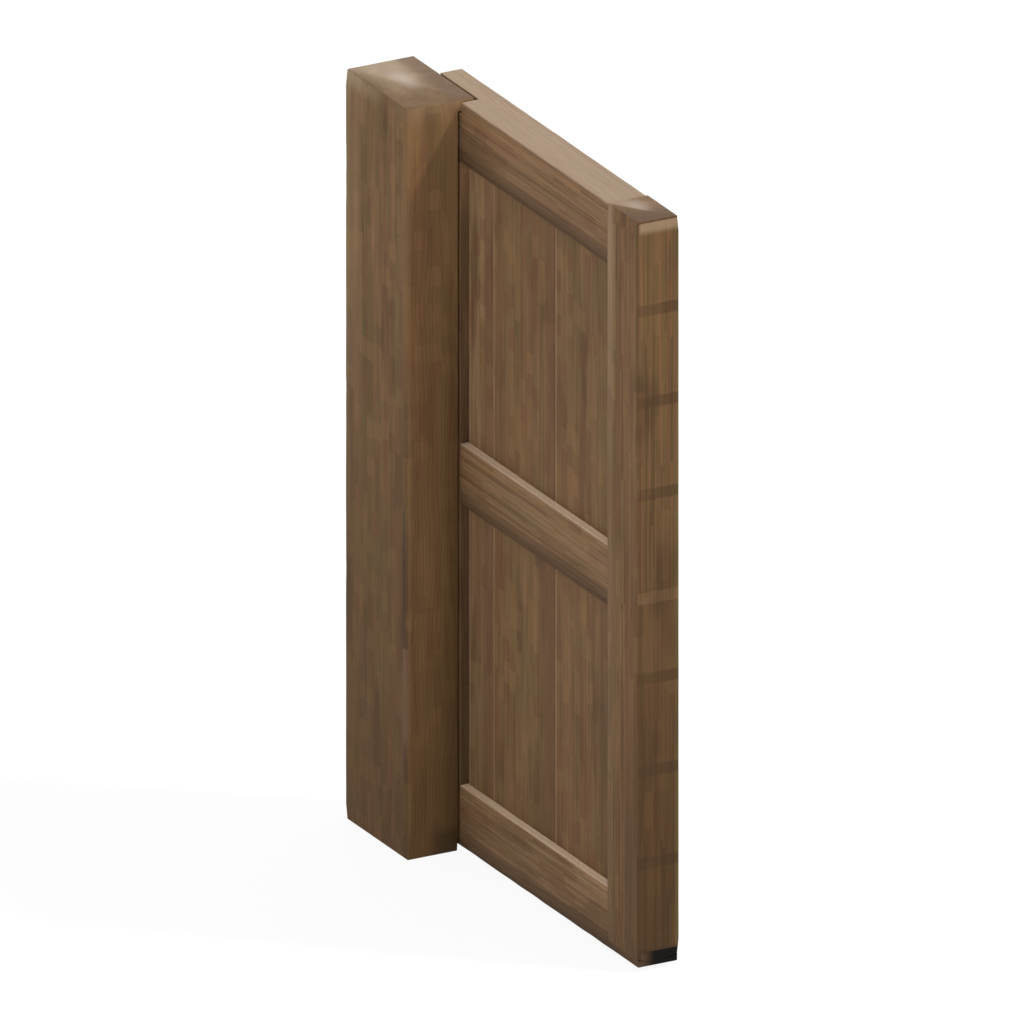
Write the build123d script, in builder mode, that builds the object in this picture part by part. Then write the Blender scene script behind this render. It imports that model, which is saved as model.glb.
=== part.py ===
from build123d import *
import os

# A wooden gate: one thick rebated post and a framed, boarded leaf hung behind it
# on two iron hooks and bands. Millimetres, +Z up, +X along the shut gate from the
# post to the free end, +Y from the front to the back. The origin is the centre of
# the post's foot.

os.makedirs("parts", exist_ok=True)

# Post
post_width = 292.0
post_depth = 173.0
post_height = 1800.0
post_arris = 5.0
post_end_draw = 2.8
post_end_length = 38.0
head_lip = 25.0

# How the shut leaf stands in the post's rebate and over the ground
swing_clearance = 5.0
leaf_bite = 39.0
ground_gap = 12.0

# Leaf frame
rail_height = 145.0
rail_thickness = 100.0
rail_arris = 2.5
rail_end_setback = 1.5
hanging_stile_width = 177.0
closing_stile_width = 142.0
closing_stile_proud = 3.0
closing_stile_rise = 3.0
stile_arris = 3.0
stile_end_draw = 2.5
stile_end_length = 36.0

# Joints of the frame
joint_clearance = 0.3
tenon_thickness = 34.0
tenon_length = 96.0
tenon_shoulder = 26.0
head_tenon_height = 60.0
foot_lip_height = 17.0
foot_tongue_height = 17.0
foot_tongue_thickness = 86.0
foot_web = 12.0
peg_diameter = 16.0
peg_edge = 18.0
peg_setback = 40.0
peg_cover = 16.0

# Boards
narrow_board_width = 114.0
wide_board_width = 293.0
board_thickness = 58.0
board_arris = 4.0
board_gap = 0.6
groove_width = 20.0
groove_depth = 15.0
tongue_relief = 1.0

# Hinges
pin_diameter = 19.0
pin_fit = 0.3
pin_setback = 22.0
pin_stub = 14.0
pin_point = 3.0
band_thickness = 8.0
band_width = 50.0
band_tip_width = 30.0
band_length = 470.0
lower_band_height = 100.0
upper_band_height = 70.0
eye_seat_gap = 0.3
boss_wall = 5.0
arm_width = 20.0
arm_tip_depth = 20.0
arm_root_depth = 44.0
plate_width = 84.0
plate_height = 100.0
plate_thickness = 8.0
plate_corner = 10.0
plate_margin = 6.0

# Places that follow from the sizes above
post_left = -post_width / 2
post_near = post_width / 2
post_front = -post_depth / 2
post_back = post_depth / 2
hanging_inner = post_near
leaf_end = hanging_inner - hanging_stile_width
rail_front = post_back - leaf_bite
rail_back = rail_front + rail_thickness
rail_middle = (rail_front + rail_back) / 2
first_seam = hanging_inner + narrow_board_width
second_seam = first_seam + wide_board_width
closing_inner = second_seam + wide_board_width
leaf_nose = closing_inner + closing_stile_width
frame_top = post_height - closing_stile_rise
bay_height = (frame_top - ground_gap - 3 * rail_height) / 2
bottom_rail_foot = ground_gap
lower_bay_foot = bottom_rail_foot + rail_height
middle_rail_foot = lower_bay_foot + bay_height
upper_bay_foot = middle_rail_foot + rail_height
top_rail_foot = upper_bay_foot + bay_height
stile_foot = ground_gap + foot_lip_height
rebate_floor = rail_front - swing_clearance
rebate_cheek = leaf_end - swing_clearance
rebate_top = post_height - head_lip
band_radius = pin_diameter / 2 + pin_fit + band_thickness
pin_x = leaf_end - pin_setback
pin_y = rail_back + band_radius
spare = 1.0


def grown(span, amount):
    """A range let out by the same amount at both ends."""
    return (span[0] - amount, span[1] + amount)


def block(x_range, y_range, z_range, mode=Mode.ADD):
    """Adds or cuts a square-edged block, given by its three ranges."""
    ranges = (x_range, y_range, z_range)
    middle = tuple((low + high) / 2 for low, high in ranges)
    with Locations(middle):
        Box(*(high - low for low, high in ranges), mode=mode)


def cut(x_range, y_range, z_range):
    """Cuts a square-edged block out of the piece being made."""
    block(x_range, y_range, z_range, Mode.SUBTRACT)


def drawn_outline(low, high, foot, head, draws, length):
    """An upright seen square on: straight sides, drawn in near the foot and the head."""
    low_draw, high_draw = draws
    return [
        (low + low_draw, foot),
        (high - high_draw, foot),
        (high, foot + length),
        (high, head - length),
        (high - high_draw, head),
        (low + low_draw, head),
        (low, head - length),
        (low, foot + length),
    ]


tenon_y = (rail_middle - tenon_thickness / 2, rail_middle + tenon_thickness / 2)
groove_y = (rail_middle - groove_width / 2, rail_middle + groove_width / 2)
tongue_y = grown(groove_y, -joint_clearance)
foot_tongue_y = (
    rail_middle - foot_tongue_thickness / 2,
    rail_middle + foot_tongue_thickness / 2,
)
foot_tongue_z = (stile_foot, stile_foot + foot_tongue_height)
tongue_length = groove_depth - tongue_relief
head_tenon_x = (leaf_end + tenon_shoulder, hanging_inner - tenon_shoulder)
head_tenon_z = (top_rail_foot, top_rail_foot + head_tenon_height)
hanging_tenon_x = (hanging_inner - tenon_length, hanging_inner)
closing_tenon_x = (closing_inner, closing_inner + tenon_length)
top_tenon_z = (top_rail_foot + tenon_shoulder, frame_top - tenon_shoulder)
middle_tenon_z = (middle_rail_foot + tenon_shoulder, upper_bay_foot - tenon_shoulder)
bottom_tenon_z = (foot_tongue_z[1] + foot_web, lower_bay_foot - tenon_shoulder)
bay_feet = (lower_bay_foot, upper_bay_foot)
closing_back = rail_back + closing_stile_proud


def peg_row(x, tenon_z, back):
    """Two pegs through one level tenon, as x, z and the face that they start from."""
    return [(x, tenon_z[0] + peg_edge, back), (x, tenon_z[1] - peg_edge, back)]


hanging_peg_x = hanging_inner - peg_setback
closing_peg_x = closing_inner + peg_setback
head_peg_z = sum(head_tenon_z) / 2
head_pegs = [
    (head_tenon_x[0] + peg_edge, head_peg_z, rail_back),
    (head_tenon_x[1] - peg_edge, head_peg_z, rail_back),
]
top_pegs = head_pegs + peg_row(closing_peg_x, top_tenon_z, closing_back)
middle_pegs = peg_row(hanging_peg_x, middle_tenon_z, rail_back)
middle_pegs += peg_row(closing_peg_x, middle_tenon_z, closing_back)
bottom_pegs = peg_row(hanging_peg_x, bottom_tenon_z, rail_back)
bottom_pegs += peg_row(closing_peg_x, bottom_tenon_z, closing_back)


def peg_rods(pegs, clearance, mode=Mode.ADD):
    """Round rods from the leaf's back to just short of its front, as pegs or as bores."""
    for x, z, back in pegs:
        with Locations(Location((x, back, z), (90, 0, 0))):
            Cylinder(
                peg_diameter / 2 + clearance,
                back - rail_front - peg_cover + clearance,
                align=(Align.CENTER, Align.CENTER, Align.MIN),
                mode=mode,
            )


def bore_for(pegs):
    """Bores the blind holes that the pegs stand in."""
    peg_rods(pegs, joint_clearance, Mode.SUBTRACT)


# The post is one squared log with eased arrises, drawn in a little at both ends.
# Its inner back corner is rebated for the leaf. The rebate stops under the head,
# and that lip keeps the shut leaf from being lifted off its hooks.
with BuildPart() as post:
    with BuildSketch():
        post_section = Rectangle(post_width, post_depth)
        fillet(post_section.vertices(), post_arris)
    extrude(amount=post_height)
    with BuildSketch(Plane.XZ):
        with BuildLine():
            Polyline(
                *drawn_outline(
                    post_left, post_near, 0, post_height,
                    (post_end_draw, post_end_draw), post_end_length,
                ),
                close=True,
            )
        make_face()
    extrude(amount=post_depth, both=True, mode=Mode.INTERSECT)
    with BuildSketch(Plane.YZ):
        with BuildLine():
            Polyline(
                *drawn_outline(
                    post_front, post_back, 0, post_height,
                    (post_end_draw, post_end_draw), post_end_length,
                ),
                close=True,
            )
        make_face()
    extrude(amount=post_width, both=True, mode=Mode.INTERSECT)
    cut((rebate_cheek, post_width), (rebate_floor, post_depth), (-spare, rebate_top))
post.part.label = "post"
export_step(post.part, "parts/post.step")


# The hanging stile stands on the bottom rail's lip, its head let into the top rail,
# and its back is flush with the rails so that the hinge bands lie flat.
with BuildPart() as hanging_stile:
    with BuildSketch(Plane((0, 0, stile_foot))):
        with Locations(((leaf_end + hanging_inner) / 2, rail_middle)):
            hanging_section = Rectangle(hanging_stile_width, rail_thickness)
        chamfer(hanging_section.vertices(), rail_arris)
    extrude(amount=top_rail_foot - stile_foot)
    block(head_tenon_x, tenon_y, head_tenon_z)
    cut(
        grown((leaf_end, hanging_inner), spare),
        grown(foot_tongue_y, joint_clearance),
        (stile_foot - spare, foot_tongue_z[1] + joint_clearance),
    )
    for tenon_z in (middle_tenon_z, bottom_tenon_z):
        cut(
            (hanging_tenon_x[0] - joint_clearance, hanging_inner + spare),
            grown(tenon_y, joint_clearance),
            grown(tenon_z, joint_clearance),
        )
    for bay_foot in bay_feet:
        cut(
            (hanging_inner - groove_depth, hanging_inner + spare),
            groove_y,
            (bay_foot, bay_foot + bay_height),
        )
    bore_for(top_pegs + middle_pegs + bottom_pegs)
hanging_stile.part.label = "hanging_stile"
export_step(hanging_stile.part, "parts/hanging_stile.step")


# The closing stile is the leaf's free end, a little proud of the rails on both
# faces. Its foot is slotted over the bottom rail's tongue, which runs right through.
closing_middle = (closing_inner + leaf_nose) / 2
closing_front = rail_front - closing_stile_proud
with BuildPart() as closing_stile:
    with BuildSketch(Plane((0, 0, stile_foot))):
        with Locations((closing_middle, rail_middle)):
            closing_section = Rectangle(closing_stile_width, closing_back - closing_front)
        fillet(closing_section.vertices(), stile_arris)
    extrude(amount=post_height - stile_foot)
    with BuildSketch(Plane.XZ.offset(-rail_middle)):
        with BuildLine():
            Polyline(
                *drawn_outline(
                    closing_inner, leaf_nose, stile_foot, post_height,
                    (0, stile_end_draw), stile_end_length,
                ),
                close=True,
            )
        make_face()
    extrude(amount=rail_thickness, both=True, mode=Mode.INTERSECT)
    with BuildSketch(Plane.YZ.offset(closing_middle)):
        with BuildLine():
            Polyline(
                *drawn_outline(
                    closing_front, closing_back, stile_foot, post_height,
                    (stile_end_draw, stile_end_draw), stile_end_length,
                ),
                close=True,
            )
        make_face()
    extrude(amount=closing_stile_width, both=True, mode=Mode.INTERSECT)
    cut(
        grown((closing_inner, leaf_nose), spare),
        grown(foot_tongue_y, joint_clearance),
        (stile_foot - spare, foot_tongue_z[1] + joint_clearance),
    )
    for tenon_z in (top_tenon_z, middle_tenon_z, bottom_tenon_z):
        cut(
            (closing_inner - spare, closing_tenon_x[1] + joint_clearance),
            grown(tenon_y, joint_clearance),
            grown(tenon_z, joint_clearance),
        )
    for bay_foot in bay_feet:
        cut(
            (closing_inner - spare, closing_inner + groove_depth),
            groove_y,
            (bay_foot, bay_foot + bay_height),
        )
    bore_for(top_pegs + middle_pegs + bottom_pegs)
closing_stile.part.label = "closing_stile"
export_step(closing_stile.part, "parts/closing_stile.step")


def rail_bar(x_low, x_high, foot):
    """A level bar of the rails' section, its four long arrises eased."""
    with BuildPart() as bar:
        with BuildSketch(Plane.YZ.offset(x_low)):
            with Locations((rail_middle, foot + rail_height / 2)):
                rail_section = Rectangle(rail_thickness, rail_height)
            chamfer(rail_section.vertices(), rail_arris)
        extrude(amount=x_high - x_low)
    return bar.part


def board_groove(z_range):
    """Ploughs the groove that the boards' ends stand in."""
    cut((hanging_inner, closing_inner), groove_y, z_range)


# The top rail runs over the hanging stile to the leaf's end. Its front top corner
# is notched there, clear of the lip of the post's head.
with BuildPart() as top_rail:
    add(rail_bar(leaf_end, closing_inner, top_rail_foot))
    block(closing_tenon_x, tenon_y, top_tenon_z)
    cut(
        grown(head_tenon_x, joint_clearance),
        grown(tenon_y, joint_clearance),
        (top_rail_foot - spare, head_tenon_z[1] + joint_clearance),
    )
    board_groove((top_rail_foot - spare, top_rail_foot + groove_depth))
    cut(
        (leaf_end - spare, post_near + swing_clearance),
        (rail_front - spare, post_back + swing_clearance),
        (rebate_top - swing_clearance, post_height),
    )
    bore_for(top_pegs)
top_rail.part.label = "top_rail"
export_step(top_rail.part, "parts/top_rail.step")


# The middle rail is tenoned into both stiles and parts the boards into two bays.
with BuildPart() as middle_rail:
    add(rail_bar(hanging_inner, closing_inner, middle_rail_foot))
    block(hanging_tenon_x, tenon_y, middle_tenon_z)
    block(closing_tenon_x, tenon_y, middle_tenon_z)
    board_groove((middle_rail_foot - spare, middle_rail_foot + groove_depth))
    board_groove((upper_bay_foot - groove_depth, upper_bay_foot + spare))
    bore_for(middle_pegs)
middle_rail.part.label = "middle_rail"
export_step(middle_rail.part, "parts/middle_rail.step")


# The bottom rail carries both stiles on a lip that runs under their feet, with a
# thinner tongue above it and a tenon above that.
rail_end = leaf_nose - rail_end_setback
with BuildPart() as bottom_rail:
    add(rail_bar(leaf_end, rail_end, bottom_rail_foot))
    for end_x in ((leaf_end - spare, hanging_inner), (closing_inner, rail_end + spare)):
        cut(end_x, grown((rail_front, rail_back), spare), (stile_foot, top_rail_foot))
    block((leaf_end, rail_end), foot_tongue_y, foot_tongue_z)
    block(hanging_tenon_x, tenon_y, bottom_tenon_z)
    block(closing_tenon_x, tenon_y, bottom_tenon_z)
    board_groove((lower_bay_foot - groove_depth, lower_bay_foot + spare))
    bore_for(bottom_pegs)
bottom_rail.part.label = "bottom_rail"
export_step(bottom_rail.part, "parts/bottom_rail.step")


# The pegs that pin the tenons are driven from the back and stop short of the front.
for name, pegs in (
    ("top_rail_pegs", top_pegs),
    ("middle_rail_pegs", middle_pegs),
    ("bottom_rail_pegs", bottom_pegs),
):
    with BuildPart() as rail_pegs:
        peg_rods(pegs, 0)
    rail_pegs.part.label = name
    export_step(rail_pegs.part, f"parts/{name}.step")


def board(x_range, bay_foot, last):
    """A wide board: arrises eased at both faces, a tongue on the edge towards the
    post, a groove or, on the last board, a tongue on the other edge, and a tongue on
    both ends."""
    body_x = grown(x_range, -board_gap / 2)
    body_z = (bay_foot, bay_foot + bay_height - joint_clearance)
    with BuildPart() as plank:
        with BuildSketch(Plane((0, 0, body_z[0]))):
            with Locations((sum(body_x) / 2, rail_middle)):
                face = Rectangle(body_x[1] - body_x[0], board_thickness)
            chamfer(face.vertices(), board_arris)
        extrude(amount=body_z[1] - body_z[0])
        block((body_x[0] - tongue_length, body_x[0] + spare), tongue_y, body_z)
        if last:
            block((body_x[1] - spare, body_x[1] + tongue_length), tongue_y, body_z)
        else:
            cut((body_x[1] - groove_depth, body_x[1] + spare), groove_y, body_z)
        block(body_x, tongue_y, (body_z[0] - tongue_length, body_z[0]))
        block(body_x, tongue_y, (body_z[1], body_z[1] + tongue_length))
    return plank.part


# Three boards fill each bay, a narrow one at the post and two wide ones.
board_seams = (hanging_inner, first_seam, second_seam, closing_inner)
board_count = len(board_seams) - 1
for bay_name, bay_foot in zip(("lower_board", "upper_board"), bay_feet):
    for index in range(board_count):
        plank_part = board(
            board_seams[index : index + 2], bay_foot, index == board_count - 1
        )
        plank_part.label = f"{bay_name}_{index + 1}"
        export_step(plank_part, f"parts/{plank_part.label}.step")


def hinge_band(middle_z):
    """A flat iron band rolled into an eye at the post end and rounded at its tip."""
    tip_x = pin_x + band_length
    tip_radius = band_tip_width / 2
    with BuildPart() as band:
        with BuildSketch(Plane((0, 0, middle_z - band_width / 2))):
            with Locations((pin_x, pin_y)):
                Circle(band_radius)
            with Locations((pin_x, rail_back)):
                Rectangle(band_length, band_thickness, align=Align.MIN)
            with Locations((pin_x, pin_y)):
                Circle(pin_diameter / 2 + pin_fit, mode=Mode.SUBTRACT)
        extrude(amount=band_width)
        with BuildSketch(Plane.XZ.offset(-pin_y)):
            with BuildLine():
                Polyline(
                    (tip_x - tip_radius, middle_z - tip_radius),
                    (pin_x + band_radius, middle_z - band_width / 2),
                    (pin_x - band_radius, middle_z - band_width / 2),
                    (pin_x - band_radius, middle_z + band_width / 2),
                    (pin_x + band_radius, middle_z + band_width / 2),
                    (tip_x - tip_radius, middle_z + tip_radius),
                )
                ThreePointArc(
                    (tip_x - tip_radius, middle_z + tip_radius),
                    (tip_x, middle_z),
                    (tip_x - tip_radius, middle_z - tip_radius),
                )
            make_face()
        extrude(amount=2 * band_radius, both=True, mode=Mode.INTERSECT)
    return band.part


def hinge_hook(middle_z):
    """A forged hook: a plate on the post's back, an arm that deepens towards it, a
    round boss under the band's eye, and the pin that the eye turns on."""
    seat_z = middle_z - band_width / 2 - eye_seat_gap
    plate_right = rebate_cheek - plate_margin
    arm_foot = post_back + plate_thickness
    with BuildPart() as hook:
        with BuildSketch(Plane.XZ.offset(-post_back)):
            with Locations((plate_right - plate_width / 2, seat_z - arm_root_depth / 2)):
                plate = Rectangle(plate_width, plate_height)
            fillet(plate.vertices(), plate_corner)
        extrude(amount=-plate_thickness)
        with BuildSketch(Plane.YZ.offset(pin_x)):
            with BuildLine():
                Polyline(
                    (arm_foot, seat_z),
                    (pin_y, seat_z),
                    (pin_y, seat_z - arm_tip_depth),
                    (arm_foot, seat_z - arm_root_depth),
                    close=True,
                )
            make_face()
        extrude(amount=arm_width / 2, both=True)
        with Locations((pin_x, pin_y, seat_z)):
            Cylinder(
                pin_diameter / 2 + boss_wall,
                arm_tip_depth,
                align=(Align.CENTER, Align.CENTER, Align.MAX),
            )
            Cylinder(
                pin_diameter / 2,
                eye_seat_gap + band_width + pin_stub,
                align=(Align.CENTER, Align.CENTER, Align.MIN),
            )
        chamfer(hook.edges().group_by(Axis.Z)[-1], pin_point)
    return hook.part


# One hook and band on the bottom rail and one on the top rail, in line with each other.
for level, band_middle in (
    ("lower", bottom_rail_foot + lower_band_height),
    ("upper", top_rail_foot + upper_band_height),
):
    band_part = hinge_band(band_middle)
    band_part.label = f"{level}_hinge_band"
    export_step(band_part, f"parts/{band_part.label}.step")
    hook_part = hinge_hook(band_middle)
    hook_part.label = f"{level}_hinge_hook"
    export_step(hook_part, f"parts/{hook_part.label}.step")
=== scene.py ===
import math

import bmesh
import bpy
import numpy as np
from mathutils import Euler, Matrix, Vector


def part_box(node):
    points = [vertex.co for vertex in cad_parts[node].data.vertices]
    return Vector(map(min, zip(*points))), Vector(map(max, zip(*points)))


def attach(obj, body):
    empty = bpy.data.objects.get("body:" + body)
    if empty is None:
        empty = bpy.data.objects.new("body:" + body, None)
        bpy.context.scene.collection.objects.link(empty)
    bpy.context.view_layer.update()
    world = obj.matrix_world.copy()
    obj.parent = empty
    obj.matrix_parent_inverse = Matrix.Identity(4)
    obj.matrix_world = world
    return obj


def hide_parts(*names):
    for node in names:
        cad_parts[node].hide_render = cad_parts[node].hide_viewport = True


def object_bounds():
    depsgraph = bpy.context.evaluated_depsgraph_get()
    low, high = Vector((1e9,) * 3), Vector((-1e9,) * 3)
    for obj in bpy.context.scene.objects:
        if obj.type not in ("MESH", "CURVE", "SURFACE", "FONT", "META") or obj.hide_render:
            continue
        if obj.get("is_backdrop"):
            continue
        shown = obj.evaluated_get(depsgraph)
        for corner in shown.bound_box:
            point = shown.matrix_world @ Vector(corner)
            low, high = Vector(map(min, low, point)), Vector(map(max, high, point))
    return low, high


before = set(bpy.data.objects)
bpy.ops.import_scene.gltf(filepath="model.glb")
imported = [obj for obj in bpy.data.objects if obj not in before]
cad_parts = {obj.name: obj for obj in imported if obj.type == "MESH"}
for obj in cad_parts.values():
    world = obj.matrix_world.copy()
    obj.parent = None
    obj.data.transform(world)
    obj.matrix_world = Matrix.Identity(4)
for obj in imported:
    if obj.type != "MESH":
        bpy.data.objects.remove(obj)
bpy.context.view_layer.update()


# Post
# One squared softwood log, 292 by 173 mm, standing on its foot. Its arrises are worn round,
# its inner back corner is rebated for the leaf, and the rebate stops under the head.
# Two shakes have opened in its front, the deeper one beside the arris.
MM = 0.001


def box_mm(node):
    """A CAD node's lowest and highest corner at rest, in millimetres."""
    low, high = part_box(node)
    return np.array(low) / MM, np.array(high) / MM


def waves(along, seed, pitch, swing):
    """A smooth uneven line: five sines of uneven length about pitch, added, at drawn phases."""
    draw = np.random.RandomState(seed)
    lengths = pitch * draw.uniform(0.45, 2.4, 5)
    phases = draw.uniform(0, 2 * np.pi, 5)
    turns = 2 * np.pi * np.asarray(along)[..., None] / lengths + phases
    return swing * np.sin(turns).mean(axis=-1) * 2


def bump_at(along, middle, reach):
    """A round rise from 0 to 1 and back: the square of a cosine, within reach of the middle."""
    share = np.clip(np.abs(np.asarray(along) - middle) / reach, 0, 1)
    return np.cos(share * np.pi / 2) ** 2


def stations(low, high, pitch, extra=()):
    """Places along a timber from low to high, about a pitch apart, with the extra ones added."""
    count = max(2, int(round((high - low) / pitch)) + 1)
    return np.sort(np.concatenate([np.linspace(low, high, count), np.asarray(extra, float)]))


def edge_columns(length, pitch, marks=()):
    """Fractions that divide a straight edge: close to both ends, then evenly, and five close
    together at each mark, where a groove runs."""
    even = np.linspace(3.0, length - 3.0, max(2, int(round(length / pitch))))
    for mark in marks:
        even = even[np.abs(even - mark) > 4.5]
    close = [mark + np.array([-3.2, -1.3, 0.0, 1.3, 3.2]) for mark in marks]
    return np.sort(np.concatenate([even, *close])) / length


def chips(along, seed, depth, reach):
    """The depth added to an arris's radius by five worn places, at drawn heights."""
    places = np.random.RandomState(seed).uniform(80, 1720, 5)
    return depth * sum(bump_at(along, place, reach) for place in places)


def rounded_rings(corners, radii, columns, arc_steps=4):
    """Closed rings (row, column, 2). In each row every right-angled corner gives way to a quarter
    circle about the point one radius in from both its edges, and each straight edge is divided
    by its own fractions."""
    count = corners.shape[1]
    turn = np.linspace(0, np.pi / 2, arc_steps + 1)[None, :, None]
    arcs = []
    for i in range(count):
        here = corners[:, i]
        back = corners[:, i - 1] - here
        onward = corners[:, (i + 1) % count] - here
        back = (back / np.linalg.norm(back, axis=1, keepdims=True))[:, None]
        onward = (onward / np.linalg.norm(onward, axis=1, keepdims=True))[:, None]
        radius = radii[:, i][:, None, None]
        middle = here[:, None] + radius * (back + onward)
        arcs.append(middle - radius * (onward * np.cos(turn) + back * np.sin(turn)))
    strips = []
    for i in range(count):
        start, end = arcs[i][:, -1:], arcs[(i + 1) % count][:, :1]
        share = np.atleast_2d(columns[i])[..., None]
        strips += [arcs[i], start + share * (end - start)]
    return np.concatenate(strips, axis=1)


def outward(rings):
    """Each ring point's outward direction: its neighbours' difference, turned a quarter right."""
    along = np.roll(rings, -1, axis=1) - np.roll(rings, 1, axis=1)
    normal = np.stack([along[..., 1], -along[..., 0]], axis=-1)
    return normal / np.maximum(np.linalg.norm(normal, axis=-1, keepdims=True), 1e-9)


def with_ends(rings, along, ease, pole, steps=3):
    """Closes a run of rings at both ends: a quarter-round of radius ease, then a flat end drawn
    to the pole through a few smaller rings. Returns points (row, column, 3) as a, b, along."""
    lift = np.full(rings.shape[:2] + (1,), 1.0) * np.asarray(along)[:, None, None]
    body = np.concatenate([rings, lift], axis=-1)
    turn = np.linspace(0, np.pi / 2, steps + 1)[1:]
    caps = []
    for row, side in ((0, -1.0), (-1, 1.0)):
        ring, normal = rings[row], outward(rings[row][None])[0]
        end = along[row] + side * ease
        rows = []
        for angle in turn:
            inset = ring - normal * ease * (1 - math.cos(angle))
            height = along[row] + side * ease * math.sin(angle)
            rows.append(np.column_stack([inset, np.full(len(ring), height)]))
        for share in (0.08, 0.3, 0.6, 1.0):
            drawn = inset + (np.asarray(pole) - inset) * share
            rows.append(np.column_stack([drawn, np.full(len(ring), end)]))
        caps.append(np.array(rows[::-1] if side < 0 else rows))
    return np.concatenate([caps[0], body, caps[1]])


def placed(name, built, sharp_degrees):
    """A bmesh put into the scene as a piece, smooth but for the edges that turn more sharply."""
    mesh = bpy.data.meshes.new(name)
    built.to_mesh(mesh)
    built.free()
    mesh.polygons.foreach_set("use_smooth", np.ones(len(mesh.polygons), bool))
    mesh.set_sharp_from_angle(angle=math.radians(sharp_degrees))
    piece = bpy.data.objects.new(name, mesh)
    bpy.context.scene.collection.objects.link(piece)
    return piece


def skin(name, grids, axis=2, sharp_degrees=38):
    """A piece from closed grids in millimetres. Each grid's rows join round into rings, its first
    and last ring are points, and its coordinates are turned so that the third runs along axis."""
    built = bmesh.new()
    for grid in grids:
        turned = np.roll(grid, axis - 2, axis=-1) * MM
        rows, cols = turned.shape[:2]
        index = np.arange(rows * cols).reshape(rows, cols)
        across = np.roll(index, -1, axis=1)
        quads = np.stack([index[:-1], across[:-1], across[1:], index[1:]], axis=-1).reshape(-1, 4)
        part = bpy.data.meshes.new(name)
        part.from_pydata(turned.reshape(-1, 3), [], quads)
        built.from_mesh(part)
        bpy.data.meshes.remove(part)
    bmesh.ops.remove_doubles(built, verts=built.verts, dist=8e-6)
    bmesh.ops.dissolve_degenerate(built, edges=built.edges, dist=2e-6)
    return placed(name, built, sharp_degrees)


class Field:
    """A number or vector that varies over a surface: one output socket, with arithmetic."""

    def __init__(self, nodes, socket):
        self.nodes = nodes
        self.socket = socket

    def _math(self, operation, first, second):
        return self.nodes.node("ShaderNodeMath", {"operation": operation}, {0: first, 1: second})

    def __add__(self, other):
        return self._math("ADD", self, other)

    def __sub__(self, other):
        return self._math("SUBTRACT", self, other)

    def __rsub__(self, other):
        return self._math("SUBTRACT", other, self)

    def __mul__(self, other):
        return self._math("MULTIPLY", self, other)

    def __truediv__(self, other):
        return self._math("DIVIDE", self, other)

    def __pow__(self, other):
        return self._math("POWER", self, other)

    __radd__ = __add__
    __rmul__ = __mul__

    def sine(self):
        return self.nodes.node("ShaderNodeMath", {"operation": "SINE"}, {0: self})

    def size(self):
        return self.nodes.node("ShaderNodeMath", {"operation": "ABSOLUTE"}, {0: self})

    def step(self, low, high):
        """0 up to low and 1 from high on, or the other way round, with a smooth rise between."""
        ends = {"Value": self, "From Min": low, "From Max": high}
        return self.nodes.node("ShaderNodeMapRange", {"interpolation_type": "SMOOTHSTEP"}, ends)


class Nodes:
    """A tree of shader nodes in the making."""

    def __init__(self, tree):
        self.tree = tree

    def put(self, socket, value):
        """Gives a socket a link or a value."""
        if isinstance(value, Field):
            self.tree.links.new(value.socket, socket)
        elif value is not None:
            socket.default_value = value

    def node(self, kind, settings=None, sockets=None, output=0):
        """Any node: its settings first, then the values or links of its sockets."""
        made = self.tree.nodes.new(kind)
        for name, value in (settings or {}).items():
            setattr(made, name, value)
        for name, value in (sockets or {}).items():
            self.put(made.inputs[name], value)
        return Field(self, made.outputs[output])


class Finish(Nodes):
    """A material in the making, on one Principled shader."""

    def __init__(self, name):
        self.material = bpy.data.materials.new(name)
        self.material.use_nodes = True
        super().__init__(self.material.node_tree)
        self.shader = self.tree.nodes["Principled BSDF"]

    def axes(self, vector):
        """A vector's three numbers."""
        return [self.node("ShaderNodeSeparateXYZ", None, {0: vector}, i) for i in range(3)]

    def point(self, a, b, c):
        return self.node("ShaderNodeCombineXYZ", None, {0: a, 1: b, 2: c})

    def noise(self, place, detail=2.0, roughness=0.5):
        sockets = {"Vector": place, "Scale": 1.0, "Detail": detail, "Roughness": roughness}
        return self.node("ShaderNodeTexNoise", None, sockets)

    def chance(self, place):
        """A drawn number from 0 to 1 for each whole-numbered place."""
        floor = self.node("ShaderNodeVectorMath", {"operation": "FLOOR"}, {0: place})
        return self.node("ShaderNodeTexWhiteNoise", None, {"Vector": floor})

    def blend(self, share, first, second, way="MIX"):
        """Two colours mixed by share, from 0 for the first to 1 for the second."""
        settings = {"data_type": "RGBA", "blend_type": way}
        return self.node("ShaderNodeMix", settings, {0: share, 6: first, 7: second}, 2)

    def dress(self, piece, colour, roughness, height=None, depth=0.0, **constants):
        """Joins the worked-out fields to the shader and puts the finish on the piece."""
        self.put(self.shader.inputs["Base Color"], colour)
        self.put(self.shader.inputs["Roughness"], roughness)
        for name, value in constants.items():
            self.shader.inputs[name.replace("_", " ")].default_value = value
        if height is not None:
            relief = {"Height": height, "Distance": depth * MM, "Strength": 1.0}
            self.put(self.shader.inputs["Normal"], self.node("ShaderNodeBump", None, relief))
        piece.data.materials.clear()
        piece.data.materials.append(self.material)


def paint(red, green, blue):
    """A colour by its 0 to 255 screen values, as the linear values that a shader takes."""
    shares = np.array([red, green, blue]) / 255
    linear = np.where(shares <= 0.04045, shares / 12.92, ((shares + 0.055) / 1.055) ** 2.4)
    return (*linear, 1.0)


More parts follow.
